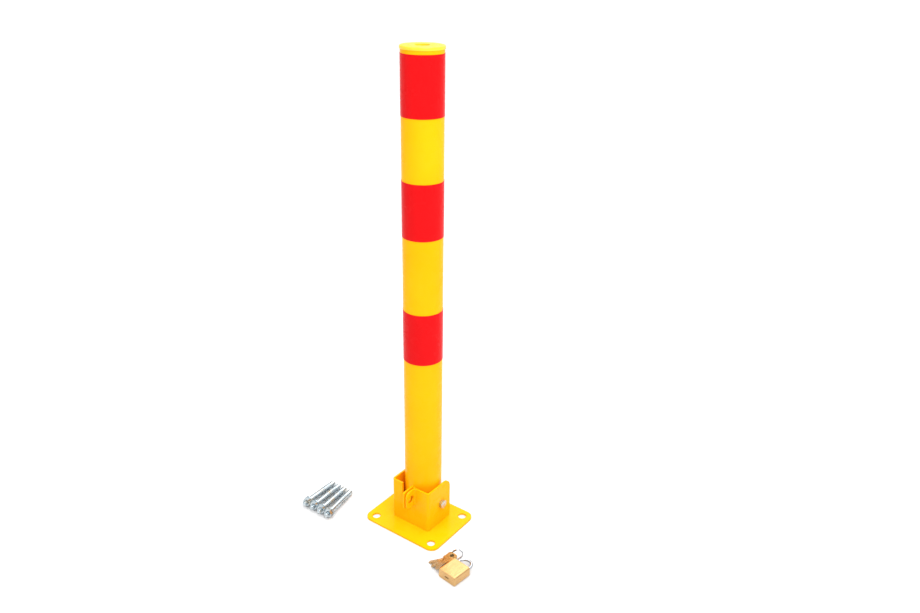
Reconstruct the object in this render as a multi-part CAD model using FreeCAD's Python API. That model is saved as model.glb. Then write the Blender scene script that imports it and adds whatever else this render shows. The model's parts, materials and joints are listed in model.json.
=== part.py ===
import FreeCAD, Part
import math
import os

from FreeCAD import Placement, Rotation, Vector

# Fold-down parking post: a steel tube hinged in a bent bracket on a bolt-down plate, kept upright
# by a padlock through two lock ears. Its padlock, keys and four sleeve anchors lie beside it.
# Millimetres. Origin: centre of the anchor hole pattern, on the ground. +Z up, the post folds
# towards +Y, and the bracket's web with the lock ears faces -Y.

# ---- base plate ----
plate_length = 146.0          # along X
plate_width = 114.0           # along Y
plate_thickness = 3.0
plate_corner_radius = 14.0
anchor_hole_radius = 6.75
anchor_spacing_x = 115.0
anchor_spacing_y = 85.0

# ---- post ----
post_set_back = 11.0          # post axis behind the hole pattern's centre
tube_radius = 30.0
tube_wall = 2.0
tube_below_pivot = 9.0        # the tube ends this far under the hinge axis
tube_above_pivot = 715.0
pivot_height = 39.0

# ---- bracket: one sheet, bent to a U round the post, with one ear bent forwards ----
sheet = 3.0
cheek_gap = 4.5               # tube side to cheek
web_gap = 2.0                 # tube front to web
bracket_height = 73.0         # above the plate
bracket_behind_axis = 23.0
bend_inner_radius = 2.0
cheek_corner_radius = 14.0
notch_left = -16.0
notch_bottom = 44.0
ear_right_face = 10.0         # x of the ear's right face
ear_reach = 20.0              # in front of the web
ear_corner_radius = 8.0
bend_relief = 1.0
eye_radius = 7.0              # hole for the padlock's shackle
eye_height = 60.0
eye_from_tip = 10.9
bracket_weld_leg = 4.0

# ---- lock lug on the post ----
lug_thickness = 3.0
lug_ear_gap = 3.0
lug_bottom_above_notch = 2.0
lug_corner_radius = 3.0
lug_weld_radius = 3.2

# ---- hinge ----
hinge_bolt_radius = 4.0
hinge_running_clearance = 0.08
cheek_hole_clearance = 0.25
pivot_tube_wall = 3.0
pivot_end_play = 0.3
pivot_fit_clearance = 0.05
hinge_head_flats = 13.0
hinge_head_height = 5.3
hinge_washer_radius = 8.0
hinge_washer_thickness = 1.6
hinge_nut_flats = 13.0
hinge_nut_height = 6.0
nut_collar_height = 2.5
nut_collar_wall = 0.9
nut_insert_wall = 1.2
nut_insert_recess = 0.4
bolt_end_beyond_nut = 3.0

# ---- cap ----
cap_overhang = 1.0
cap_flange_height = 4.6
cap_edge_radius = 1.8
cap_skirt_length = 20.0
cap_wall = 2.0
cap_skirt_clearance = 0.1
cap_pocket_radius = 10.5
cap_pocket_depth = 10.0

# ---- reflective bands ----
band_film = 0.25
band_adhesive = 0.15
band_height = 82.5
band_bottoms = {"red_band_lower": 298.0, "red_band_middle": 495.0, "red_band_upper": 666.5}

# ---- padlock, modelled lying flat with its keyhole face towards -Y ----
lock_width = 34.0
lock_length = 34.0
lock_thickness = 16.0
lock_side_radius = 3.0
lock_end_chamfer = 0.8
shackle_radius = 2.5
shackle_spacing = 22.0
shackle_clear_height = 14.0
shackle_hole_clearance = 0.15
heel_depth = 24.0
toe_depth = 9.0
plug_radius = 5.0
plug_length = 18.5
plug_clearance = 0.06
keyway_width = 2.0
keyway_height = 7.6
pin_radius = 1.2
pin_clearance = 0.06
pin_count = 4
pin_pitch = 3.2
first_pin_from_face = 4.0
key_pin_length = 2.6
driver_pin_length = 3.0
pin_cap_length = 1.6
spring_wire = 0.3
latch_radius = 2.0
latch_from_shackle_face = 7.0
latch_length = 12.0
latch_travel = 1.4
latch_channel_wall = 0.5       # left between the channel and the heel hole
latch_spring_wire = 0.5
plug_pin_radius = 1.0
plug_pin_from_face = 7.0
plug_pin_x = -5.6
plug_tail_radius = 0.9
plug_tail_offset = 1.6
tail_clearance = 0.1
tail_play = 0.45              # the tail turns on before it meets the latch
shackle_notch_clearance = 0.3
lock_place = (129.5, -77.5)
lock_turn = -7.0

# ---- keys on a split ring ----
key_thickness = 1.8
key_blade_length = 24.0
key_blade_width = 6.4
key_bow_length = 19.0
key_bow_width = 17.0
key_hole_radius = 3.4
key_hole_from_end = 5.6
key_cuts = (1.0, 2.0, 1.4, 0.7)
key_stack_gap = 0.4
key_bow_height = 3.0          # underside of the lowest bow at its hole
key_directions = {"key_1": -131.0, "key_2": -113.0, "key_3": -96.0}
ring_radius = 9.0             # to the middle of the wire
ring_wire = 1.7
ring_centre = (111.2, -45.5)
ring_direction = 45.0
ring_to_hole = 7.6

# ---- sleeve anchors ----
anchor_count = 4
anchor_pitch = 16.3
anchor_first_x = -121.8
anchor_washer_y = -86.5
anchor_first_turn = 11.3      # the anchors lie in a slight fan
anchor_turn_step = -2.5
stud_radius = 4.0
stud_end_beyond_nut = 5.0
anchor_nut_flats = 13.0
anchor_nut_height = 6.5
anchor_washer_radius = 8.0
anchor_washer_thickness = 1.6
sleeve_radius = 5.0
sleeve_clearance = 0.1
sleeve_length = 53.0
sleeve_slit_length = 26.0
sleeve_slit_width = 1.2
anchor_cone_length = 6.5
anchor_tip_length = 4.0
anchor_washer_clearance = 0.4

# ---- worked out from the sizes above ----
X, Y, Z = Vector(1, 0, 0), Vector(0, 1, 0), Vector(0, 0, 1)
cheek_inside = tube_radius + cheek_gap
cheek_outside = cheek_inside + sheet
web_inside = post_set_back - tube_radius - web_gap
web_front = web_inside - sheet
bracket_back = post_set_back + bracket_behind_axis
bracket_top = plate_thickness + bracket_height
ear_tip = web_front - ear_reach
eye_y = ear_tip + eye_from_tip
lug_right_face = ear_right_face - sheet - lug_ear_gap
lug_left_face = lug_right_face - lug_thickness
tube_bottom = pivot_height - tube_below_pivot
tube_top = pivot_height + tube_above_pivot
pivot_tube_radius = hinge_bolt_radius + hinge_running_clearance + pivot_tube_wall


def box(x0, x1, y0, y1, z0, z1):
    return Part.makeBox(x1 - x0, y1 - y0, z1 - z0, Vector(x0, y0, z0))


def rod(radius, start, direction, length):
    return Part.makeCylinder(radius, length, Vector(*start), direction)


def ring(outer, inner, start, direction, length):
    return rod(outer, start, direction, length).cut(rod(inner, start, direction, length))


def edges_along(shape, direction, test):
    # Straight edges parallel to a direction whose middle passes the test.
    found = []
    for edge in shape.Edges:
        if edge.Curve.TypeId != "Part::GeomLine":
            continue
        along = edge.Vertexes[-1].Point.sub(edge.Vertexes[0].Point)
        if along.cross(direction).Length > 1e-6 * max(along.Length, 1e-9):
            continue
        if test(edge.CenterOfMass):
            found.append(edge)
    return found


def hexagon(flats, height, start, direction, turn=0.0):
    # A hexagonal prism from its start point along a direction, with its rims rounded off by a cone.
    radius = flats / math.sqrt(3.0)
    points = [Vector(radius * math.cos(math.radians(60 * i + turn)),
                     radius * math.sin(math.radians(60 * i + turn)), 0) for i in range(7)]
    prism = Part.Face(Part.makePolygon(points)).extrude(Vector(0, 0, height))
    slope = (radius - flats / 2.0) * math.tan(math.radians(30))
    dome = rod(radius, (0, 0, 0), Z, height - slope)
    dome = dome.fuse(Part.makeCone(radius, flats / 2.0, slope, Vector(0, 0, height - slope)))
    solid = prism.common(dome)
    solid.Placement = Placement(Vector(*start), Rotation(Z, direction))
    return solid


def save(node, shapes):
    # One STEP per node. A list of pieces is written as a group of separate solids.
    if isinstance(shapes, list):
        shape = Part.makeCompound(shapes)
    else:
        shape = shapes
    solids = shape.Solids
    bad = [solid for solid in solids if not solid.isValid() or solid.Volume <= 0]
    if not solids or bad:
        raise ValueError("bad solid in " + node)
    shape.exportStep("parts/" + node + ".step")
    print(node, len(solids), round(sum(solid.Volume for solid in solids), 1))


# ---- base and bracket ----

def make_base_plate():
    plate = box(-plate_length / 2, plate_length / 2, -plate_width / 2, plate_width / 2, 0, plate_thickness)
    plate = plate.makeFillet(plate_corner_radius, edges_along(plate, Z, lambda p: True))
    for sx in (-1, 1):
        for sy in (-1, 1):
            centre = (sx * anchor_spacing_x / 2, sy * anchor_spacing_y / 2, 0)
            plate = plate.cut(rod(anchor_hole_radius, centre, Z, plate_thickness))
    return plate


def make_ear():
    # The flap of the notch, bent forwards about a vertical line.
    bottom = notch_bottom + bend_relief
    bend_x = ear_right_face + bend_inner_radius
    bend_y = web_front - bend_inner_radius
    flat = box(ear_right_face - sheet, ear_right_face, ear_tip, bend_y, bottom, bracket_top)
    front = edges_along(flat, X, lambda p: p.y < ear_tip + 0.1)
    flat = flat.makeFillet(ear_corner_radius, front)
    height = bracket_top - bottom
    bend = ring(bend_inner_radius + sheet, bend_inner_radius, (bend_x, bend_y, bottom), Z, height)
    bend = bend.common(box(ear_right_face - sheet, bend_x, bend_y, web_inside, bottom, bracket_top))
    eye = rod(eye_radius, (0, eye_y, eye_height), X, 2 * ear_right_face)
    return flat.cut(eye).fuse(bend)


def make_bracket():
    outer = box(-cheek_outside, cheek_outside, web_front, bracket_back, plate_thickness, bracket_top)
    outer = outer.makeFillet(bend_inner_radius + sheet,
                             edges_along(outer, Z, lambda p: p.y < web_front + 0.1))
    inner = box(-cheek_inside, cheek_inside, web_inside, bracket_back + 1, plate_thickness, bracket_top)
    inner = inner.makeFillet(bend_inner_radius, edges_along(inner, Z, lambda p: p.y < web_inside + 0.1))
    channel = outer.cut(inner)
    side = box(-cheek_outside, cheek_outside, web_front, bracket_back, plate_thickness, bracket_top)
    top_back = edges_along(side, X, lambda p: p.y > bracket_back - 0.1 and p.z > bracket_top - 0.1)
    channel = channel.common(side.makeFillet(cheek_corner_radius, top_back))
    bend_x = ear_right_face + bend_inner_radius
    notch = box(notch_left, bend_x, web_front - 1, web_inside + 1, notch_bottom, bracket_top + 1)
    hinge_hole = rod(hinge_bolt_radius + cheek_hole_clearance,
                     (-cheek_outside - 1, post_set_back, pivot_height), X, 2 * cheek_outside + 2)
    return channel.cut(notch).cut(hinge_hole).fuse(make_ear()).removeSplitter()


def make_bracket_welds():
    # Inside corner beads: one behind the web and one along each cheek.
    leg = bracket_weld_leg
    length = 2 * cheek_inside - 4 * leg
    web_bead = rod(leg, (-length / 2, web_inside, plate_thickness), X, length)
    web_bead = web_bead.common(box(-length / 2, length / 2, web_inside, web_inside + leg,
                                   plate_thickness, plate_thickness + leg))
    beads = [web_bead]
    start, end = web_inside + 2 * leg, bracket_back - leg
    for side in (-1, 1):
        x = side * cheek_inside
        bead = rod(leg, (x, start, plate_thickness), Y, end - start)
        x0, x1 = sorted((x, x - side * leg))
        beads.append(bead.common(box(x0, x1, start, end, plate_thickness, plate_thickness + leg)))
    return beads


# ---- hinge ----

def make_hinge_bolt():
    nut_length = hinge_nut_height + nut_collar_height
    end = cheek_outside + hinge_washer_thickness + nut_length + bolt_end_beyond_nut
    shank = rod(hinge_bolt_radius, (cheek_outside, post_set_back, pivot_height), -X, cheek_outside + end)
    rims = [edge for edge in shank.Edges if edge.Closed and edge.CenterOfMass.x < -end + 0.1]
    shank = shank.makeChamfer(hinge_bolt_radius / 6, rims)
    head = hexagon(hinge_head_flats, hinge_head_height, (cheek_outside, post_set_back, pivot_height), X)
    return shank.fuse(head).removeSplitter()


def make_hinge_washer():
    return ring(hinge_washer_radius, hinge_bolt_radius + cheek_hole_clearance,
                (-cheek_outside, post_set_back, pivot_height), -X, hinge_washer_thickness)


def make_hinge_nut():
    start = -cheek_outside - hinge_washer_thickness
    nut = hexagon(hinge_nut_flats, hinge_nut_height, (start, post_set_back, pivot_height), -X)
    collar = rod(hinge_bolt_radius + nut_insert_wall + nut_collar_wall,
                 (start - hinge_nut_height, post_set_back, pivot_height), -X, nut_collar_height)
    nut = nut.fuse(collar)
    nut_length = hinge_nut_height + nut_collar_height
    bore = rod(hinge_bolt_radius, (start, post_set_back, pivot_height), -X, nut_length)
    seat = rod(hinge_bolt_radius + nut_insert_wall,
               (start - hinge_nut_height, post_set_back, pivot_height), -X, nut_collar_height)
    return nut.cut(bore).cut(seat).removeSplitter()


def make_nut_insert():
    start = -cheek_outside - hinge_washer_thickness - hinge_nut_height
    return ring(hinge_bolt_radius + nut_insert_wall, hinge_bolt_radius,
                (start, post_set_back, pivot_height), -X, nut_collar_height - nut_insert_recess)


# ---- post ----

def make_post_tube():
    tube = ring(tube_radius, tube_radius - tube_wall, (0, post_set_back, tube_bottom), Z,
                tube_top - tube_bottom)
    hole_radius = pivot_tube_radius + pivot_fit_clearance
    hole_start = (-tube_radius - 1, post_set_back, pivot_height)
    return tube.cut(rod(hole_radius, hole_start, X, 2 * tube_radius + 2))


def make_pivot_tube():
    length = 2 * (cheek_inside - pivot_end_play)
    return ring(pivot_tube_radius, hinge_bolt_radius + hinge_running_clearance,
                (-length / 2, post_set_back, pivot_height), X, length)


def make_pivot_welds():
    # A bead round the pivot tube on each side of the post.
    post = rod(tube_radius, (0, post_set_back, 0), Z, 2 * pivot_height)
    tube = rod(pivot_tube_radius + pivot_fit_clearance, (-cheek_inside, post_set_back, pivot_height), X,
               2 * cheek_inside)
    height = cheek_gap - 1.0
    foot = pivot_tube_radius + height
    beads = []
    for side in (-1, 1):
        start = Vector(side * (tube_radius - height), post_set_back, pivot_height)
        cone = Part.makeCone(foot, pivot_tube_radius, 2 * height - 0.6, start, X * side)
        beads.append(cone.cut(post).cut(tube))
    return beads


def make_lock_lug():
    bottom = notch_bottom + lug_bottom_above_notch
    plate = box(lug_left_face, lug_right_face, ear_tip, post_set_back - tube_radius + 4, bottom, bracket_top)
    plate = plate.makeFillet(lug_corner_radius, edges_along(plate, X, lambda p: p.y < ear_tip + 0.1))
    eye = rod(eye_radius, (lug_left_face - 1, eye_y, eye_height), X, lug_thickness + 2)
    post = rod(tube_radius, (0, post_set_back, bottom - 1), Z, bracket_top)
    return plate.cut(eye).cut(post)


def make_lug_welds(lug):
    # One upright bead on each side of the lug, on the tube.
    middle = (lug_left_face + lug_right_face) / 2
    bottom = notch_bottom + lug_bottom_above_notch + 1
    seam_y = post_set_back - math.sqrt(tube_radius ** 2 - middle ** 2)
    bead = rod(lug_weld_radius, (middle, seam_y, bottom), Z, bracket_top - bottom - 1)
    post = rod(tube_radius, (0, post_set_back, bottom - 1), Z, bracket_top)
    return bead.cut(post).cut(lug).Solids


def make_top_cap():
    # Turned outline: flange, skirt inside the tube, and a round pocket in the middle of the top.
    outer = tube_radius + cap_overhang
    skirt = tube_radius - tube_wall - cap_skirt_clearance
    top = cap_flange_height
    under = top - cap_wall
    floor = top - cap_pocket_depth
    profile = [(0, floor), (cap_pocket_radius, floor), (cap_pocket_radius, top), (outer, top), (outer, 0),
               (skirt, 0), (skirt, -cap_skirt_length), (skirt - cap_wall, -cap_skirt_length),
               (skirt - cap_wall, under), (cap_pocket_radius + cap_wall, under),
               (cap_pocket_radius + cap_wall, floor - cap_wall), (0, floor - cap_wall)]
    corners = [Vector(r, post_set_back, tube_top + z) for r, z in profile]
    face = Part.Face(Part.makePolygon(corners + corners[:1]))
    cap = face.revolve(Vector(0, post_set_back, 0), Z, 360)
    rims = [edge for edge in cap.Edges if edge.Closed and abs(edge.CenterOfMass.z - tube_top - top) < 0.01
            and edge.Curve.TypeId == "Part::GeomCircle"]
    cap = cap.makeFillet(cap_edge_radius, [edge for edge in rims if abs(edge.Curve.Radius - outer) < 0.01])
    return cap


def make_band(bottom):
    inner = tube_radius + band_adhesive
    return ring(inner + band_film, inner, (0, post_set_back, bottom), Z, band_height)


# ---- padlock, in its own frame: X across, Y from the keyhole face to the shackle, Z up ----

lock_middle = lock_thickness / 2
keyhole_face = -lock_length / 2
shackle_face = lock_length / 2
latch_y = shackle_face - latch_from_shackle_face
toe_x = shackle_spacing / 2
heel_x = -shackle_spacing / 2
latch_channel_start = heel_x + shackle_radius + shackle_hole_clearance + latch_channel_wall
latch_back = toe_x - shackle_radius - 0.1 - latch_length
tail_sweep = plug_tail_offset + plug_tail_radius + tail_clearance
pin_ys = [keyhole_face + first_pin_from_face + i * pin_pitch for i in range(pin_count)]


def lock_placement():
    return Placement(Vector(lock_place[0], lock_place[1], 0), Rotation(Z, lock_turn))


def placed(shape, placement):
    moved = shape.copy()
    moved.Placement = placement.multiply(moved.Placement)
    return moved


def pin_rods(radius, start, length):
    return [rod(radius, (start, y, lock_middle), X, length) for y in pin_ys]


def make_padlock_body():
    body = box(-lock_width / 2, lock_width / 2, keyhole_face, shackle_face, 0, lock_thickness)
    body = body.makeFillet(lock_side_radius, edges_along(body, Y, lambda p: True))
    ends = [edge for edge in body.Edges if abs(abs(edge.CenterOfMass.y) - lock_length / 2) < 0.01]
    body = body.makeChamfer(lock_end_chamfer, ends)
    hole = shackle_radius + shackle_hole_clearance
    cuts = [rod(hole, (heel_x, shackle_face + 1, lock_middle), -Y, heel_depth + 2),
            rod(hole, (toe_x, shackle_face + 1, lock_middle), -Y, toe_depth + 2),
            rod(plug_radius + plug_clearance, (0, keyhole_face - 1, lock_middle), Y, plug_length + 1.3),
            rod(tail_sweep, (0, keyhole_face, lock_middle), Y, latch_y - keyhole_face),
            rod(latch_radius + plug_clearance, (latch_channel_start, latch_y, lock_middle), X, lock_width),
            rod(plug_pin_radius, (plug_pin_x, keyhole_face + plug_pin_from_face, -1), Z, lock_thickness - 2)]
    cuts += pin_rods(pin_radius + pin_clearance, 0, lock_width)
    for cut in cuts:
        body = body.cut(cut)
    return body


def make_shackle():
    # A bent bar: heel leg, half-round bow and toe leg, with a latch notch in the toe.
    straight = shackle_clear_height - shackle_spacing / 2 + shackle_radius
    top = shackle_face + straight
    heel = rod(shackle_radius, (heel_x, shackle_face - heel_depth, lock_middle), Y, straight + heel_depth)
    toe = rod(shackle_radius, (toe_x, shackle_face - toe_depth, lock_middle), Y, straight + toe_depth)
    bow = Part.makeTorus(shackle_spacing / 2, shackle_radius, Vector(0, top, lock_middle), Z)
    half = box(-lock_width, lock_width, top, top + lock_width, -lock_width, lock_width)
    shackle = heel.fuse(toe).fuse(bow.common(half)).removeSplitter()
    notch_depth = latch_travel + shackle_notch_clearance
    notch = rod(latch_radius + shackle_notch_clearance,
                (toe_x - 2 * shackle_radius, latch_y, lock_middle), X, shackle_radius + notch_depth)
    return shackle.cut(notch)


def make_plug():
    plug = rod(plug_radius, (0, keyhole_face, lock_middle), Y, plug_length)
    keyway = box(-keyway_height / 2, keyway_height / 2, keyhole_face - 1, keyhole_face + plug_length - 2,
                 lock_middle - keyway_width / 2, lock_middle + keyway_width / 2)
    groove_centre = Vector(0, keyhole_face + plug_pin_from_face, lock_middle)
    groove = Part.makeTorus(plug_radius, plug_pin_radius, groove_centre, Y)
    tail_start = keyhole_face + plug_length
    tail = rod(plug_tail_radius, (-plug_tail_offset, tail_start, lock_middle), Y,
               latch_y - 2 * tail_clearance - tail_start)
    plug = plug.cut(keyway).cut(groove)
    for hole in pin_rods(pin_radius + pin_clearance, 0, plug_radius + 1):
        plug = plug.cut(hole)
    return plug.fuse(tail).removeSplitter()


def make_latch():
    # A round bar, with its lower half cut away where the plug's tail stands in it.
    bar = rod(latch_radius, (latch_back, latch_y, lock_middle), X, latch_length)
    slot_end = plug_tail_radius + 2 * tail_clearance
    slot = box(-tail_sweep - tail_play, slot_end, latch_y - latch_radius - 1, latch_y,
               lock_middle - latch_radius - 1, lock_middle + latch_radius + 1)
    return bar.cut(slot)


def make_coil(radius, wire, start, direction, length, turns):
    # A compression spring of round wire along a direction.
    pitch = (length - 2 * wire) / turns
    path = Part.makeHelix(pitch, pitch * turns, radius)
    section = Part.Wire(Part.makeCircle(wire / 2, Vector(radius, 0, 0), Y))
    coil = Part.Wire(path.Edges).makePipeShell([section], True, True)
    coil.Placement = Placement(Vector(*start).add(direction * wire), Rotation(Z, direction))
    return Part.Solid(coil) if coil.ShapeType == "Shell" else coil


def make_lock_pieces():
    shear = math.sqrt(plug_radius ** 2 - pin_radius ** 2)
    driver_start = plug_radius + plug_clearance
    spring_start = driver_start + driver_pin_length
    cap_start = lock_width / 2 - pin_cap_length
    pin_y = keyhole_face + plug_pin_from_face
    springs = [make_coil(pin_radius - spring_wire / 2 - 0.1, spring_wire, (spring_start, y, lock_middle),
                         X, cap_start - spring_start, 6) for y in pin_ys]
    return {
        "padlock_body": make_padlock_body(),
        "padlock_shackle": make_shackle(),
        "padlock_plug": make_plug(),
        "plug_retaining_pin": rod(plug_pin_radius, (plug_pin_x, pin_y, 0), Z, lock_thickness - 3),
        "key_pins": pin_rods(pin_radius, shear - key_pin_length, key_pin_length),
        "driver_pins": pin_rods(pin_radius, driver_start, driver_pin_length),
        "pin_springs": springs,
        "pin_chamber_caps": pin_rods(pin_radius + pin_clearance, cap_start, pin_cap_length),
        "padlock_latch": make_latch(),
        "latch_spring": make_coil(latch_radius - latch_spring_wire / 2 - 0.05, latch_spring_wire,
                                  (latch_channel_start, latch_y, lock_middle), X,
                                  latch_back - latch_channel_start, 3),
        "latch_channel_plug": rod(latch_radius + plug_clearance,
                                  (toe_x + shackle_radius + 0.4, latch_y, lock_middle), X,
                                  lock_width / 2 - toe_x - shackle_radius - 0.4),
    }


# ---- keys and split ring ----

def make_key():
    # Flat on Z = 0, hole centre at the origin, blade towards +X.
    bow_end = -key_hole_from_end
    bow = box(bow_end, bow_end + key_bow_length, -key_bow_width / 2, key_bow_width / 2, 0, key_thickness)
    bow = bow.makeFillet(key_bow_width * 0.28, edges_along(bow, Z, lambda p: True))
    blade_start = bow_end + key_bow_length - 1
    tip = bow_end + key_bow_length + key_blade_length
    half = key_blade_width / 2
    outline = [(blade_start, -half), (tip - half, -half), (tip, -half * 0.2), (tip - half * 0.8, half),
               (blade_start, half)]
    corners = [Vector(x, y, 0) for x, y in outline]
    blade = Part.Face(Part.makePolygon(corners + corners[:1])).extrude(Vector(0, 0, key_thickness))
    key = bow.fuse(blade).removeSplitter()
    key = key.cut(rod(key_hole_radius, (0, 0, -1), Z, key_thickness + 2))
    groove = key_thickness / 3
    key = key.cut(box(blade_start, tip + 1, -half * 0.35, half * 0.15,
                      key_thickness - groove, key_thickness + 1))
    for i, depth in enumerate(key_cuts):
        x = blade_start + first_pin_from_face + 2 + i * pin_pitch
        notch = [Vector(x - depth - 0.5, half + 0.1, -1), Vector(x - 0.4, half - depth, -1),
                 Vector(x + 0.4, half - depth, -1), Vector(x + depth + 0.5, half + 0.1, -1)]
        face = Part.Face(Part.makePolygon(notch + notch[:1]))
        key = key.cut(face.extrude(Vector(0, 0, key_thickness + 2)))
    return key


def key_frame(level, direction):
    # The bows are stacked on the ring and every key slopes down to the ground the same way.
    along = math.radians(ring_direction)
    hole = Vector(ring_centre[0] - ring_to_hole * math.cos(along),
                  ring_centre[1] - ring_to_hole * math.sin(along), key_bow_height)
    tip_distance = key_bow_length + key_blade_length - key_hole_from_end
    slope = math.degrees(math.asin(key_bow_height / tip_distance))
    middle = key_directions["key_2"]
    sideways = Vector(-math.sin(math.radians(middle)), math.cos(math.radians(middle)), 0)
    tilt = Rotation(sideways, slope)
    up = tilt.multVec(Z)
    base = hole.add(up * (level * (key_thickness + key_stack_gap)))
    return Placement(base, tilt.multiply(Rotation(Z, direction)))


def make_key_ring():
    # A split ring: two flat coils, one on the other, joined where the wire steps across.
    half = ring_wire / 2
    coils = []
    for side in (-1, 1):
        coil = ring(ring_radius + half, ring_radius - half, (0, 0, 0), Z * side, half - 0.04)
        coil.translate(Vector(0, 0, side * 0.04))
        coils.append(coil)
    step = box(ring_radius - half + 0.05, ring_radius + half - 0.05, -1.5, 1.5, -half + 0.1, half - 0.1)
    split = coils[0].fuse(coils[1]).fuse(step).removeSplitter()
    along = math.radians(ring_direction)
    sideways = Vector(-math.sin(along), math.cos(along), 0)
    upright = Placement(Vector(ring_centre[0], ring_centre[1], ring_radius + half), Rotation(Z, sideways))
    return placed(split, upright)


# ---- sleeve anchors, each in its own frame: axis along +Y, washer's back face at Y = 0 ----

def make_anchor():
    nut_front = -anchor_washer_thickness - anchor_nut_height
    cone_start = sleeve_length
    cone_radius = stud_radius + sleeve_clearance
    stud = rod(stud_radius, (0, nut_front - stud_end_beyond_nut, 0), Y,
               sleeve_length - nut_front + stud_end_beyond_nut)
    front = nut_front - stud_end_beyond_nut
    rims = [edge for edge in stud.Edges if edge.Closed and edge.CenterOfMass.y < front + 0.1]
    stud = stud.makeChamfer(stud_radius / 5, rims)
    cone = Part.makeCone(stud_radius, sleeve_radius, anchor_cone_length, Vector(0, cone_start, 0), Y)
    tip = rod(sleeve_radius, (0, cone_start + anchor_cone_length, 0), Y, anchor_tip_length)
    stud = stud.fuse(cone).fuse(tip).removeSplitter()
    nut = hexagon(anchor_nut_flats, anchor_nut_height, (0, -anchor_washer_thickness, 0), -Y)
    nut = nut.cut(rod(stud_radius, (0, -anchor_washer_thickness, 0), -Y, anchor_nut_height))
    washer = ring(anchor_washer_radius, stud_radius + anchor_washer_clearance, (0, 0, 0), -Y,
                  anchor_washer_thickness)
    sleeve = ring(sleeve_radius, cone_radius, (0, 0, 0), Y, sleeve_length)
    for turn in (0, 60, 120):
        slit = box(-sleeve_radius - 1, sleeve_radius + 1, sleeve_length - sleeve_slit_length,
                   sleeve_length + 1, -sleeve_slit_width / 2, sleeve_slit_width / 2)
        slit.rotate(Vector(0, 0, 0), Y, turn)
        sleeve = sleeve.cut(slit)
    return {"anchor_studs": stud, "anchor_nuts": nut, "anchor_washers": washer, "anchor_sleeves": sleeve}


def anchor_placement(index):
    # The anchor lies on its washer's rim and on its tip, so its axis slopes a little.
    tip_distance = sleeve_length + anchor_cone_length + anchor_tip_length
    slope = math.degrees(math.asin((anchor_washer_radius - sleeve_radius) / tip_distance))
    place = Vector(anchor_first_x - index * anchor_pitch, anchor_washer_y,
                   anchor_washer_radius + anchor_washer_thickness * math.sin(math.radians(slope)))
    turn = anchor_first_turn + index * anchor_turn_step
    return Placement(place, Rotation(Z, turn).multiply(Rotation(X, -slope)))


def make_anchor_groups():
    one = make_anchor()
    places = [anchor_placement(i) for i in range(anchor_count)]
    return {node: [placed(shape, place) for place in places] for node, shape in one.items()}


def main():
    os.makedirs("parts", exist_ok=True)
    save("base_plate", make_base_plate())
    save("bracket", make_bracket())
    save("bracket_welds", make_bracket_welds())
    save("hinge_bolt", make_hinge_bolt())
    save("hinge_washer", make_hinge_washer())
    save("hinge_nut", make_hinge_nut())
    save("hinge_nut_insert", make_nut_insert())
    save("post_tube", make_post_tube())
    save("pivot_tube", make_pivot_tube())
    save("pivot_welds", make_pivot_welds())
    lug = make_lock_lug()
    save("lock_lug", lug)
    save("lug_welds", make_lug_welds(lug))
    save("top_cap", make_top_cap())
    for node, bottom in band_bottoms.items():
        save(node, make_band(bottom))
    for node, shape in make_lock_pieces().items():
        pieces = shape if isinstance(shape, list) else [shape]
        pieces = [placed(piece, lock_placement()) for piece in pieces]
        save(node, pieces if isinstance(shape, list) else pieces[0])
    key = make_key()
    for level, (node, direction) in enumerate(key_directions.items()):
        save(node, placed(key, key_frame(level, direction)))
    save("key_ring", make_key_ring())
    for node, pieces in make_anchor_groups().items():
        save(node, pieces)


main()
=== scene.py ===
import json
import math
import bpy
from mathutils import Matrix, Vector


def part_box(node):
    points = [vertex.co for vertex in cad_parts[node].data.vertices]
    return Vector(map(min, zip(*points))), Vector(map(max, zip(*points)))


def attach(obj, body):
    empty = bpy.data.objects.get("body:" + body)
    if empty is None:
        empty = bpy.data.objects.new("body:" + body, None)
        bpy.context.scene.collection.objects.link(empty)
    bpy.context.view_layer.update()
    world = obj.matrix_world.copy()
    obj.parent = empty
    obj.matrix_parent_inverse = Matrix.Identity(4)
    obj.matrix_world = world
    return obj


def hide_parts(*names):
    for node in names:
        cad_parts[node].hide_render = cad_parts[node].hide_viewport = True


# Looks for a fold-down parking post: powder-coated steel, red reflective film, zinc-plated
# anchors, a brass padlock and its keys. Metres, in the same frame as the CAD model.

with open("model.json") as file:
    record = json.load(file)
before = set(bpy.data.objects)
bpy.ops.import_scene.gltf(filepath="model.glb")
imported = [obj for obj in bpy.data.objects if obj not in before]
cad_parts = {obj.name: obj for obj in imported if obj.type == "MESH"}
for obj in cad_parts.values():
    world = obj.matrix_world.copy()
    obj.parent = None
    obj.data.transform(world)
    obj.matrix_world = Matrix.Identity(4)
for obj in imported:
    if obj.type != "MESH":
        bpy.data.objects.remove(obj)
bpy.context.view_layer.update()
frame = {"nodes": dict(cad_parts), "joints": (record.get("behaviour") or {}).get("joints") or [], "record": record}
nodes = frame["nodes"]
joints = {joint["name"]: joint for joint in frame["joints"]}
print("frame loaded,", len(nodes), "nodes")


# helpers for modelling by hand

def deselectAll():
    if bpy.context.object and bpy.context.object.mode != "OBJECT":
        bpy.ops.object.mode_set(mode="OBJECT")
    bpy.ops.object.select_all(action="DESELECT")


def pick(piece):
    deselectAll()
    piece.select_set(True)
    bpy.context.view_layer.objects.active = piece


def editAll(piece):
    pick(piece)
    bpy.ops.object.mode_set(mode="EDIT")
    bpy.ops.mesh.select_all(action="SELECT")


def leaveEdit():
    bpy.ops.object.mode_set(mode="OBJECT")


def settle(piece, place=None):
    # put the piece in place, then leave its object at the origin
    pick(piece)
    if place is not None:
        piece.matrix_world = place
    bpy.ops.object.transform_apply(location=True, rotation=True, scale=True)


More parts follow.
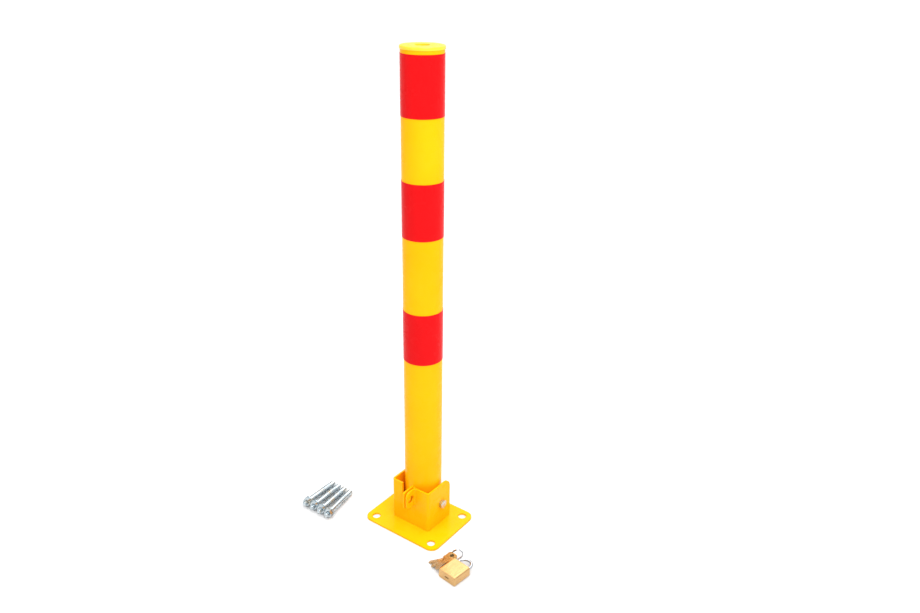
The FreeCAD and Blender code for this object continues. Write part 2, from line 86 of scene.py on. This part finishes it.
def copyOf(piece):
    twin = piece.copy()
    twin.data = piece.data.copy()
    bpy.context.scene.collection.objects.link(twin)
    return twin


def rename(piece, name):
    piece.name = name
    piece.data.name = name


def joined(pieces, name):
    deselectAll()
    for piece in pieces:
        piece.select_set(True)
    bpy.context.view_layer.objects.active = pieces[0]
    bpy.ops.object.join()
    rename(pieces[0], name)
    return pieces[0]


def faceOut(piece):
    editAll(piece)
    bpy.ops.mesh.normals_make_consistent(inside=False)
    leaveEdit()


def smooth(piece, angle):
    pick(piece)
    bpy.ops.object.shade_smooth_by_angle(angle=math.radians(angle))


def turnedRod(name, stations, segments):
    # a round bar along Z: each station is (height, radius)
    height, radius = stations[0]
    deselectAll()
    bpy.ops.mesh.primitive_circle_add(vertices=segments, radius=radius, fill_type="NGON",
                                      location=(0, 0, height))
    rod = bpy.context.object
    rod.name = name
    settle(rod)
    editAll(rod)
    for nextHeight, nextRadius in stations[1:]:
        bpy.ops.mesh.extrude_region_move(TRANSFORM_OT_translate={"value": (0, 0, nextHeight - height)})
        share = nextRadius / radius
        bpy.ops.transform.resize(value=(share, share, 1), center_override=(0, 0, nextHeight))
        height, radius = nextHeight, nextRadius
    leaveEdit()
    faceOut(rod)
    return rod


def screwThread(name, start, turns, pitch, rootRadius, crestRadius, foot=0.86, crest=0.16, steps=28):
    # a ridge wound round Z: its foot is a share of the pitch, its crest a share of the foot
    deselectAll()
    middle = (rootRadius + crestRadius) / 2
    depth = crestRadius - rootRadius
    bpy.ops.mesh.primitive_plane_add(size=depth, location=(middle, 0, start))
    thread = bpy.context.object
    thread.name = name
    settle(thread)
    editAll(thread)
    bpy.ops.transform.rotate(value=math.pi / 2, orient_axis="X", center_override=(middle, 0, start))
    bpy.ops.transform.resize(value=(1, 1, pitch * foot / depth), center_override=(middle, 0, start))
    leaveEdit()
    for vertex in thread.data.vertices:
        vertex.select = vertex.co.x > middle
    bpy.ops.object.mode_set(mode="EDIT")
    bpy.ops.transform.resize(value=(1, 1, crest), center_override=(crestRadius, 0, start))
    leaveEdit()
    wind = thread.modifiers.new("wind", "SCREW")
    wind.axis = "Z"
    wind.angle = 2 * math.pi
    wind.screw_offset = pitch
    wind.iterations = turns
    wind.steps = steps
    wind.render_steps = steps
    wind.use_smooth_shade = False
    bpy.ops.object.modifier_apply(modifier="wind")
    editAll(thread)
    bpy.ops.mesh.remove_doubles(threshold=1e-6)
    bpy.ops.mesh.select_all(action="SELECT")
    bpy.ops.mesh.fill_holes(sides=4)
    leaveEdit()
    faceOut(thread)
    return thread


class Surface:
    # a node material on Object coordinates, built up step by step
    bevelSamples = 6
    fullEdge = 0.82          # how far a rounded normal leans on a full edge, as a cosine

    def __init__(self, name, colour, metallic=0.0, roughness=0.4):
        self.material = bpy.data.materials.new(name)
        self.material.use_nodes = True
        self.tree = self.material.node_tree
        self.shader = self.tree.nodes["Principled BSDF"]
        self.fixed({"Base Color": (*colour, 1), "Metallic": metallic, "Roughness": roughness})
        self.place = self.tree.nodes.new("ShaderNodeTexCoord").outputs["Object"]
        self.normal = None

    def fixed(self, values):
        for socket, value in values.items():
            self.shader.inputs[socket].default_value = value

    def link(self, source, target):
        self.tree.links.new(source, target)

    def stretched(self, scale, turn):
        mapping = self.tree.nodes.new("ShaderNodeMapping")
        mapping.inputs["Scale"].default_value = scale
        mapping.inputs["Rotation"].default_value = turn
        self.link(self.place, mapping.inputs["Vector"])
        return mapping.outputs["Vector"]

    def noise(self, scale, detail, rough=0.5, place=None):
        node = self.tree.nodes.new("ShaderNodeTexNoise")
        node.inputs["Scale"].default_value = scale
        node.inputs["Detail"].default_value = detail
        node.inputs["Roughness"].default_value = rough
        self.link(place or self.place, node.inputs["Vector"])
        return node.outputs["Fac"]

    def cells(self, scale, feature="F1"):
        node = self.tree.nodes.new("ShaderNodeTexVoronoi")
        node.feature = feature
        node.inputs["Scale"].default_value = scale
        self.link(self.place, node.inputs["Vector"])
        return node.outputs["Distance"]

    def vectorMath(self, operation, first, second):
        node = self.tree.nodes.new("ShaderNodeVectorMath")
        node.operation = operation
        self.link(first, node.inputs[0])
        if isinstance(second, bpy.types.NodeSocket):
            self.link(second, node.inputs[1])
        else:
            node.inputs[1].default_value = second
        return node.outputs["Value"]

    def times(self, first, second):
        node = self.tree.nodes.new("ShaderNodeMath")
        node.operation = "MULTIPLY"
        self.link(first, node.inputs[0])
        self.link(second, node.inputs[1])
        return node.outputs[0]

    def spread(self, source, low, high, toLow=0.0, toHigh=1.0):
        # what lies between low and high is spread over toLow to toHigh
        node = self.tree.nodes.new("ShaderNodeMapRange")
        ends = {"From Min": low, "From Max": high, "To Min": toLow, "To Max": toHigh}
        for socket, value in ends.items():
            node.inputs[socket].default_value = value
        self.link(source, node.inputs["Value"])
        return node.outputs["Result"]

    def mixed(self, factor, first, second):
        node = self.tree.nodes.new("ShaderNodeMix")
        node.data_type = "RGBA"
        for socket, value in ((node.inputs[6], first), (node.inputs[7], second)):
            if isinstance(value, tuple):
                socket.default_value = (*value, 1)
            else:
                self.link(value, socket)
        self.link(factor, node.inputs[0])
        return node.outputs[2]

    def bevelNormal(self, radius):
        bevel = self.tree.nodes.new("ShaderNodeBevel")
        bevel.samples = self.bevelSamples
        bevel.inputs["Radius"].default_value = radius
        return bevel.outputs["Normal"]

    def edges(self, radius):
        # 1 along sharp edges and 0 on flats, from how far a rounded normal leans away
        plain = self.tree.nodes.new("ShaderNodeNewGeometry").outputs["True Normal"]
        lean = self.vectorMath("DOT_PRODUCT", self.bevelNormal(radius), plain)
        return self.spread(lean, 1.0, self.fullEdge)

    def rounded(self, radius):
        self.normal = self.bevelNormal(radius)
        self.link(self.normal, self.shader.inputs["Normal"])

    def bumped(self, height, distance, strength):
        node = self.tree.nodes.new("ShaderNodeBump")
        node.inputs["Strength"].default_value = strength
        node.inputs["Distance"].default_value = distance
        self.link(height, node.inputs["Height"])
        if self.normal is not None:
            self.link(self.normal, node.inputs["Normal"])
        self.normal = node.outputs["Normal"]
        self.link(self.normal, self.shader.inputs["Normal"])

    def coloured(self, source):
        self.link(source, self.shader.inputs["Base Color"])

    def roughened(self, pattern, values, start=0.3, end=0.7):
        self.link(self.spread(pattern, start, end, *values), self.shader.inputs["Roughness"])


powderCoat = {
    "colour": (0.98, 0.42, 0.001),
    "deep": (1.0, 0.465, 0.003),       # in soft clouds
    "cloudScale": 14,
    "thin": (0.86, 0.33, 0.002),       # where the coat pulls thin on an edge
    "thinScale": 420,
    "thinShare": (0.25, 0.8),
    "edgeRadius": 0.0009,
    "roughScale": 60,
    "roughness": (0.22, 0.34),
    "peelScale": 520,                  # orange peel
    "peelDepth": 0.00006,
    "gloss": {"Specular IOR Level": 0.04, "Coat Weight": 0.05, "Coat Roughness": 0.08},
}


def makePowderCoat():
    p = powderCoat
    s = Surface("powderCoatYellow", p["colour"], roughness=0.3)
    body = s.mixed(s.spread(s.noise(p["cloudScale"], 2), 0.3, 0.7), p["colour"], p["deep"])
    patches = s.spread(s.noise(p["thinScale"], 3), 0.35, 0.65, *p["thinShare"])
    s.coloured(s.mixed(s.times(s.edges(p["edgeRadius"]), patches), body, p["thin"]))
    s.roughened(s.noise(p["roughScale"], 4), p["roughness"])
    s.rounded(p["edgeRadius"])
    s.bumped(s.noise(p["peelScale"], 2, 0.4), p["peelDepth"], 0.5)
    s.fixed(p["gloss"])
    return s.material


capPlastic = {
    "colour": (1.0, 0.56, 0.01),
    "lighter": (1.0, 0.62, 0.03),
    "cloudScale": 30,
    "edgeRadius": 0.0006,
    "roughScale": 160,
    "roughness": (0.26, 0.4),
    "grainScale": 900,
    "grainDepth": 0.00004,
    "gloss": {"Specular IOR Level": 0.45},
}


def makeCapPlastic():
    p = capPlastic
    s = Surface("capPlasticYellow", p["colour"], roughness=0.32)
    s.coloured(s.mixed(s.spread(s.noise(p["cloudScale"], 2), 0.35, 0.65), p["colour"], p["lighter"]))
    s.roughened(s.noise(p["roughScale"], 3), p["roughness"])
    s.rounded(p["edgeRadius"])
    s.bumped(s.noise(p["grainScale"], 2), p["grainDepth"], 0.5)
    s.fixed(p["gloss"])
    return s.material


reflectiveFilm = {
    "colour": (0.68, 0.004, 0.006),
    "cell": (0.64, 0.0035, 0.0055),    # along the seams of the reflecting cells
    "cellScale": 900.0,
    "seamWidth": 0.12,                 # as a share of a cell
    "roughScale": 45,
    "roughness": (0.2, 0.3),
    "rippleScale": 35,                 # the film's slight ripple on the tube
    "rippleDepth": 0.00025,
    "gloss": {"Specular IOR Level": 0.04, "Coat Weight": 0.08, "Coat Roughness": 0.05},
}


def makeReflectiveFilm():
    p = reflectiveFilm
    s = Surface("reflectiveFilmRed", p["colour"], roughness=0.26)
    seam = s.spread(s.cells(p["cellScale"], "DISTANCE_TO_EDGE"), 0.0, p["seamWidth"], 1.0, 0.0)
    s.coloured(s.mixed(seam, p["colour"], p["cell"]))
    s.roughened(s.noise(p["roughScale"], 3), p["roughness"])
    s.bumped(s.noise(p["rippleScale"], 2), p["rippleDepth"], 0.35)
    s.fixed(p["gloss"])
    return s.material


zinc = {
    "colour": (0.64, 0.69, 0.71),
    "dull": (0.45, 0.52, 0.56),
    "spangleScale": 260,
    "warm": (0.66, 0.50, 0.30),        # a yellow passivated tint, in patches
    "warmScale": 90,
    "warmShare": 0.6,
    "edgeRadius": 0.0003,
    "roughScale": 300,
    "roughness": (0.18, 0.36),
    "grainScale": 1500,
    "grainDepth": 0.00002,
}


def makeZinc():
    p = zinc
    s = Surface("zincPlate", p["colour"], metallic=1.0, roughness=0.25)
    plated = s.mixed(s.spread(s.cells(p["spangleScale"]), 0.0, 0.7), p["colour"], p["dull"])
    patches = s.spread(s.noise(p["warmScale"], 3), 0.52, 0.7, 0.0, p["warmShare"])
    s.coloured(s.mixed(patches, plated, p["warm"]))
    s.roughened(s.noise(p["roughScale"], 4), p["roughness"])
    s.rounded(p["edgeRadius"])
    s.bumped(s.noise(p["grainScale"], 3), p["grainDepth"], 0.4)
    return s.material


chrome = {
    "colour": (0.52, 0.54, 0.57),
    "roughScale": 400,
    "roughness": (0.06, 0.16),
    "grainScale": 700,
    "grainDepth": 0.00001,
}


def makeChrome():
    p = chrome
    s = Surface("chromePlate", p["colour"], metallic=1.0, roughness=0.09)
    s.roughened(s.noise(p["roughScale"], 4), p["roughness"], start=0.35)
    s.bumped(s.noise(p["grainScale"], 2), p["grainDepth"], 0.3)
    return s.material


brass = {
    "colour": (0.71, 0.46, 0.21),
    "deep": (0.57, 0.34, 0.13),
    "brushScale": (2600, 120, 2600),   # the brush marks run along the padlock
    "brushTurn": -7,                   # degrees, as the padlock lies
    "brushDepth": 0.00001,
    "roughness": (0.22, 0.38),
    "edgeRadius": 0.0005,
}


def makeBrass():
    p = brass
    s = Surface("padlockBrass", p["colour"], metallic=1.0, roughness=0.3)
    along = s.stretched(p["brushScale"], (0, 0, math.radians(p["brushTurn"])))
    brushed = s.noise(1.0, 4, 0.6, along)
    s.coloured(s.mixed(s.spread(brushed, 0.35, 0.65), p["colour"], p["deep"]))
    s.roughened(brushed, p["roughness"])
    s.rounded(p["edgeRadius"])
    s.bumped(brushed, p["brushDepth"], 0.4)
    return s.material


keyBrass = {
    "colour": (0.52, 0.31, 0.11),
    "deep": (0.34, 0.19, 0.06),
    "handledScale": 180,
    "rubbed": (0.76, 0.56, 0.32),      # greyer along the blade
    "rubbedRadius": 0.0005,
    "blade": (0.36, 0.31, 0.23),       # nickel shows where the key has been cut
    "bladeStart": 0.021,               # from the hole in the bow
    "bladeFull": 0.025,
    "edgeRadius": 0.0003,
    "roughScale": 600,
    "roughness": (0.22, 0.42),
    "grainScale": 1300,
    "grainDepth": 0.00002,
}


def makeKeyBrass():
    p = keyBrass
    s = Surface("keyBrass", p["colour"], metallic=1.0, roughness=0.3)
    body = s.mixed(s.spread(s.noise(p["handledScale"], 3), 0.35, 0.65), p["colour"], p["deep"])
    fromHole = s.vectorMath("DISTANCE", s.place, joints["key_1_swing"]["pos_m"])
    body = s.mixed(s.spread(fromHole, p["bladeStart"], p["bladeFull"]), body, p["blade"])
    s.coloured(s.mixed(s.edges(p["rubbedRadius"]), body, p["rubbed"]))
    s.roughened(s.noise(p["roughScale"], 4), p["roughness"])
    s.rounded(p["edgeRadius"])
    s.bumped(s.noise(p["grainScale"], 3), p["grainDepth"], 0.4)
    return s.material


nylon = {
    "colour": (0.05, 0.12, 0.42),
    "roughScale": 700,
    "roughness": (0.45, 0.65),
    "grainScale": 1200,
    "grainDepth": 0.00003,
}


def makeNylon():
    p = nylon
    s = Surface("nutNylon", p["colour"], roughness=0.55)
    s.roughened(s.noise(p["roughScale"], 2), p["roughness"])
    s.bumped(s.noise(p["grainScale"], 2), p["grainDepth"], 0.5)
    return s.material


slotMaterials = {
    "yellow_paint": makePowderCoat(),
    "yellow_plastic": makeCapPlastic(),
    "red_film": makeReflectiveFilm(),
    "zinc_steel": makeZinc(),
    "chrome_steel": makeChrome(),
    "brass": makeBrass(),
    "key_brass": makeKeyBrass(),
    "nylon": makeNylon(),
}
slotOf = {part["node"]: part["material_slot"] for part in frame["record"]["subparts"]}
for name, node in nodes.items():
    node.data.materials.clear()
    node.data.materials.append(slotMaterials[slotOf[name]])
print("materials made,", len(slotMaterials))


def dress(piece, slotName, bodyName, *replaced):
    piece.data.materials.clear()
    piece.data.materials.append(slotMaterials[slotName])
    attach(piece, bodyName)
    if replaced:
        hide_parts(*replaced)


# weld beads: one ripple is modelled, then laid along each seam

weldBead = {
    "pitch": 0.0017,          # from one ripple to the next
    "segments": 14,           # of one ripple
    "rings": 9,
    "squash": 0.62,           # along the seam
    "frontStart": 0.2,        # of the flatter front, as a share of the radius
    "frontCentre": 0.1,
    "frontShape": (0.7, 1.02, 1.02),
    "sway": 0.05,             # how much the ripples differ in size
    "plateBead": 0.0032,      # radius of the ripples between bracket and plate
    "plateOut": 0.0008,       # of their centres, from both faces
    "cornerGap": 0.009,       # left free at the bracket's bends
    "pivotBead": 0.0024,
    "pivotOut": 0.0009,       # from the pivot tube
    "postOut": 0.0002,        # from the post
    "lugBead": 0.0024,
    "lugOut": 0.0006,         # from the lug's faces
    "lugPostOut": 0.0003,     # from the post
    "lugEnd": 0.0015,         # from each end of the seam
}


def makeRipple():
    # a squashed ball with a flatter front, as a pool of metal freezes
    deselectAll()
    bpy.ops.mesh.primitive_uv_sphere_add(segments=weldBead["segments"], ring_count=weldBead["rings"],
                                         radius=1, location=(0, 0, 0))
    ripple = bpy.context.object
    ripple.name = "ripple"
    editAll(ripple)
    bpy.ops.transform.resize(value=(weldBead["squash"], 1, 1), center_override=(0, 0, 0))
    leaveEdit()
    for vertex in ripple.data.vertices:
        vertex.select = vertex.co.x > weldBead["frontStart"]
    bpy.ops.object.mode_set(mode="EDIT")
    bpy.ops.transform.resize(value=weldBead["frontShape"],
                             center_override=(weldBead["frontCentre"], 0, 0))
    leaveEdit()
    return ripple


def layBead(ripple, points, radius):
    beads = []
    for i, point in enumerate(points):
        ahead = points[min(i + 1, len(points) - 1)] - points[max(i - 1, 0)]
        grow = 1 + weldBead["sway"] * math.sin(2.3 * i) * math.sin(0.7 * i + 1)      # no two alike
        twin = copyOf(ripple)
        turn = ahead.to_track_quat("X", "Z").to_matrix().to_4x4()
        twin.matrix_world = Matrix.Translation(point) @ turn @ Matrix.Scale(radius * grow, 4)
        beads.append(twin)
    return beads


def alongLine(start, end):
    count = max(2, round((end - start).length / weldBead["pitch"]))
    return [start.lerp(end, i / count) for i in range(count + 1)]


def finishBead(beads, name, slotName, bodyName, *replaced):
    bead = joined(beads, name)
    settle(bead)
    smooth(bead, 60)
    dress(bead, slotName, bodyName, *replaced)


def makeBracketBeads(ripple):
    # inside the bracket, behind its web and along both cheeks
    low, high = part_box("bracket_welds")
    radius = weldBead["plateBead"]
    seamX = high.x - weldBead["plateOut"]
    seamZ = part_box("base_plate")[1].z + weldBead["plateOut"]
    webY = low.y + weldBead["plateOut"]
    endY = high.y - radius
    gap = weldBead["cornerGap"]
    webSeam = alongLine(Vector((-seamX + gap, webY, seamZ)), Vector((seamX - gap, webY, seamZ)))
    beads = layBead(ripple, webSeam, radius)
    for side in (-1, 1):
        seam = alongLine(Vector((side * seamX, webY + gap, seamZ)), Vector((side * seamX, endY, seamZ)))
        beads += layBead(ripple, seam, radius)
    finishBead(beads, "bracketWeldBeads", "yellow_paint", "base", "bracket_welds")


pivot = Vector(joints["post_fold"]["pos_m"])
postRadius = (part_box("post_tube")[1].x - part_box("post_tube")[0].x) / 2


def makePivotBeads(ripple):
    # round the pivot tube, where it comes out of the post's curved sides
    low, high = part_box("pivot_tube")
    around = (high.z - low.z) / 2 + weldBead["pivotOut"]
    count = round(2 * math.pi * around / weldBead["pitch"])
    beads = []
    for side in (-1, 1):
        seam = []
        for i in range(count + 1):
            angle = 2 * math.pi * i / count
            across = around * math.sin(angle)
            out = math.sqrt(postRadius ** 2 - across ** 2) + weldBead["postOut"]
            seam.append(Vector((side * out, pivot.y + across, pivot.z + around * math.cos(angle))))
        beads += layBead(ripple, seam, weldBead["pivotBead"])
    finishBead(beads, "pivotWeldBeads", "yellow_paint", "post", "pivot_welds")


def makeLugBeads(ripple):
    # upright, on both sides of the lug
    lugLow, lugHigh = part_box("lock_lug")
    weldLow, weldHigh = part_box("lug_welds")
    bottom = weldLow.z + weldBead["lugEnd"]
    top = weldHigh.z - weldBead["lugEnd"]
    beads = []
    for x in (lugLow.x - weldBead["lugOut"], lugHigh.x + weldBead["lugOut"]):
        y = pivot.y - math.sqrt(postRadius ** 2 - x ** 2) - weldBead["lugPostOut"]
        seam = alongLine(Vector((x, y, bottom)), Vector((x, y, top)))
        beads += layBead(ripple, seam, weldBead["lugBead"])
    finishBead(beads, "lugWeldBeads", "yellow_paint", "post", "lug_welds")


ripple = makeRipple()
makeBracketBeads(ripple)
makePivotBeads(ripple)
makeLugBeads(ripple)
bpy.data.objects.remove(ripple)
print("weld beads laid")


# anchor studs with real threads, as they lie in a slight fan

anchorStud = {
    "count": 4,
    "pitch": 0.0163,          # from one anchor to the next
    "firstX": -0.1218,
    "washerY": -0.0865,
    "firstTurn": 11.3,        # degrees
    "turnStep": -2.5,
    "washerRadius": 0.008,
    "washerThickness": 0.0016,
    "nutHeight": 0.0065,
    "endBeyondNut": 0.005,
    "endChamfer": 0.0005,
    "endShare": 0.88,         # of the root's radius, left at the end
    "radius": 0.004,
    "shankShare": 0.98,       # of that radius, where there is no thread
    "rootRadius": 0.0034,
    "threadPitch": 0.00125,
    "threadTurns": 9,
    "threadRunOut": 0.0006,   # bare at each end of the thread
    "threadSink": 0.0001,     # of the ridge, into the root
    "sleeveRadius": 0.005,
    "sleeveLength": 0.053,
    "coneLength": 0.0065,
    "tipLength": 0.004,
    "tipChamfer": 0.0004,
    "segments": 40,
}


def anchorPlace(index):
    # the anchor lies on its washer's rim and on its tip, so its axis slopes a little
    a = anchorStud
    reach = a["sleeveLength"] + a["coneLength"] + a["tipLength"]
    slope = math.asin((a["washerRadius"] - a["sleeveRadius"]) / reach)
    place = Vector((a["firstX"] - index * a["pitch"], a["washerY"],
                    a["washerRadius"] + a["washerThickness"] * math.sin(slope)))
    turn = math.radians(a["firstTurn"] + index * a["turnStep"])
    return (Matrix.Translation(place) @ Matrix.Rotation(turn, 4, "Z") @ Matrix.Rotation(-slope, 4, "X")
            @ Matrix.Rotation(-math.pi / 2, 4, "X"))


def makeStud():
    # upright, with the washer's back face at the origin
    a = anchorStud
    root = a["rootRadius"]
    shank = a["radius"] * a["shankShare"]
    front = -a["washerThickness"] - a["nutHeight"] - a["endBeyondNut"]
    threadStart = front + a["threadRunOut"]
    threadEnd = threadStart + a["threadPitch"] * (a["threadTurns"] + 0.5)
    cone = a["sleeveLength"]
    tip = cone + a["coneLength"]
    end = tip + a["tipLength"]
    core = turnedRod("stud", [
        (front, root * a["endShare"]), (front + a["endChamfer"], root), (threadEnd, root),
        (threadEnd + a["threadRunOut"], shank), (cone, shank), (tip, a["sleeveRadius"]),
        (end - a["tipChamfer"], a["sleeveRadius"]), (end, a["sleeveRadius"] - a["tipChamfer"]),
    ], a["segments"])
    thread = screwThread("thread", threadStart + a["threadPitch"] * 0.5, a["threadTurns"] - 1,
                         a["threadPitch"], root - a["threadSink"], a["radius"])
    return joined([core, thread], "stud")


stud = makeStud()
studs = []
for i in range(anchorStud["count"]):
    twin = copyOf(stud)
    settle(twin, anchorPlace(i))
    studs.append(twin)
bpy.data.objects.remove(stud)
threadedStuds = joined(studs, "threadedStuds")
smooth(threadedStuds, 30)
dress(threadedStuds, "zinc_steel", "anchors", "anchor_studs")
print("studs threaded")


# film overlaps: each red band is one strip whose end laps over its start, at the back

filmLap = {
    "lapStart": 0.004,        # beside the post's middle
    "lapWidth": 0.012,
    "film": 0.00025,
    "gap": 0.00005,           # under the lap
    "short": 0.0006,          # how much shorter than the band it is
    "segments": 360,
}


def makeLap(nodeName):
    low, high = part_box(nodeName)
    outer = (high.x - low.x) / 2 + filmLap["gap"]
    centreY = (low.y + high.y) / 2
    deselectAll()
    bpy.ops.mesh.primitive_cylinder_add(
        vertices=filmLap["segments"], radius=outer, depth=high.z - low.z - filmLap["short"],
        end_fill_type="NOTHING", location=(0, centreY, (low.z + high.z) / 2))
    lap = bpy.context.object
    settle(lap)
    bpy.ops.object.mode_set(mode="EDIT")
    bpy.ops.mesh.select_all(action="DESELECT")
    leaveEdit()
    for face in lap.data.polygons:
        across = face.center.x - filmLap["lapStart"]
        face.select = not (face.center.y > centreY and 0 < across < filmLap["lapWidth"])
    bpy.ops.object.mode_set(mode="EDIT")
    bpy.ops.mesh.select_mode(type="FACE")
    bpy.ops.mesh.delete(type="FACE")
    leaveEdit()
    wall = lap.modifiers.new("film", "SOLIDIFY")
    wall.thickness = filmLap["film"]
    wall.offset = 1
    bpy.ops.object.modifier_apply(modifier="film")
    smooth(lap, 30)
    return lap


for place in ("lower", "middle", "upper"):
    lap = makeLap("red_band_" + place)
    rename(lap, "filmLap" + place.capitalize())
    dress(lap, "red_film", "post")
print("film laps made")


# floor, light and camera

studio = {
    "floor": (0.67, 0.67, 0.67),
    "floorGlow": 0.03,            # so the paper stays white far out
    "floorSize": 60,
    "floorDrop": 0.0002,          # under the plate, so that the two don't flicker
    # strength by height, from the horizon up
    "sky": [(0.0, 1.0), (0.14, 1.0), (0.2, 0.12), (0.36, 0.14), (0.52, 1.1), (1.0, 2.7)],
    "lights": [
        # place, size, watts, aim
        ((0.95, -0.5, 1.3), 0.7, 11.5, (0, 0, 0.74)),
        ((-1.4, -0.9, 1.5), 1.0, 2.0, (0, 0, 0.6)),
        ((-0.4, 1.5, 1.6), 1.2, 6.0, (0, 0, 0.45)),
    ],
}


def makeFloor():
    deselectAll()
    bpy.ops.mesh.primitive_plane_add(size=studio["floorSize"], location=(0, 0, -studio["floorDrop"]))
    floor = bpy.context.object
    floor.name = "floor"
    paper = Surface("floorPaper", studio["floor"], roughness=0.9)
    paper.fixed({"Specular IOR Level": 0.1, "Emission Color": (1, 1, 1, 1),
                 "Emission Strength": studio["floorGlow"]})
    floor.data.materials.append(paper.material)


def makeSky():
    world = bpy.data.worlds.new("studioWorld")
    world.use_nodes = True
    tree = world.node_tree
    sky = tree.nodes["Background"]
    place = tree.nodes.new("ShaderNodeTexCoord")
    split = tree.nodes.new("ShaderNodeSeparateXYZ")
    ramp = tree.nodes.new("ShaderNodeValToRGB")
    brightest = max(strength for height, strength in studio["sky"])
    while len(ramp.color_ramp.elements) < len(studio["sky"]):
        ramp.color_ramp.elements.new(0.5)
    for element, (height, strength) in zip(ramp.color_ramp.elements, studio["sky"]):
        element.position = height
        element.color = (strength / brightest,) * 3 + (1,)
    tree.links.new(place.outputs["Generated"], split.inputs[0])
    tree.links.new(split.outputs["Z"], ramp.inputs["Fac"])
    tree.links.new(ramp.outputs["Color"], sky.inputs["Color"])
    sky.inputs["Strength"].default_value = brightest
    backdrop = tree.nodes.new("ShaderNodeBackground")         # what stands behind is plain white
    backdrop.inputs["Color"].default_value = (1, 1, 1, 1)
    seen = tree.nodes.new("ShaderNodeLightPath")
    choice = tree.nodes.new("ShaderNodeMixShader")
    tree.links.new(seen.outputs["Is Camera Ray"], choice.inputs["Fac"])
    tree.links.new(sky.outputs["Background"], choice.inputs[1])
    tree.links.new(backdrop.outputs["Background"], choice.inputs[2])
    tree.links.new(choice.outputs["Shader"], tree.nodes["World Output"].inputs["Surface"])
    bpy.context.scene.world = world


def makeLights():
    for place, size, watts, aim in studio["lights"]:
        deselectAll()
        bpy.ops.object.light_add(type="AREA", location=place)
        light = bpy.context.object
        light.data.energy = watts
        light.data.size = size
        light.rotation_euler = (Vector(aim) - Vector(place)).to_track_quat("-Z", "Y").to_euler()


cameraView = {
    "place": (0.69705, -0.86992, 0.88483),
    "turn": (65.9349, -0.9419, 35.951),       # degrees
    "lens": 32.1375,                          # millimetres, as is the sensor
    "sensor": 36,
    "nearest": 0.01,
    "farthest": 200,
}


def makeCamera():
    bpy.ops.object.camera_add(location=cameraView["place"],
                              rotation=[math.radians(angle) for angle in cameraView["turn"]])
    camera = bpy.context.object
    camera.data.sensor_width = cameraView["sensor"]
    camera.data.lens = cameraView["lens"]
    camera.data.clip_start = cameraView["nearest"]
    camera.data.clip_end = cameraView["farthest"]
    bpy.context.scene.camera = camera


makeFloor()
makeSky()
makeLights()
makeCamera()
bpy.context.scene.view_settings.view_transform = "Standard"
deselectAll()
print("studio and camera ready")
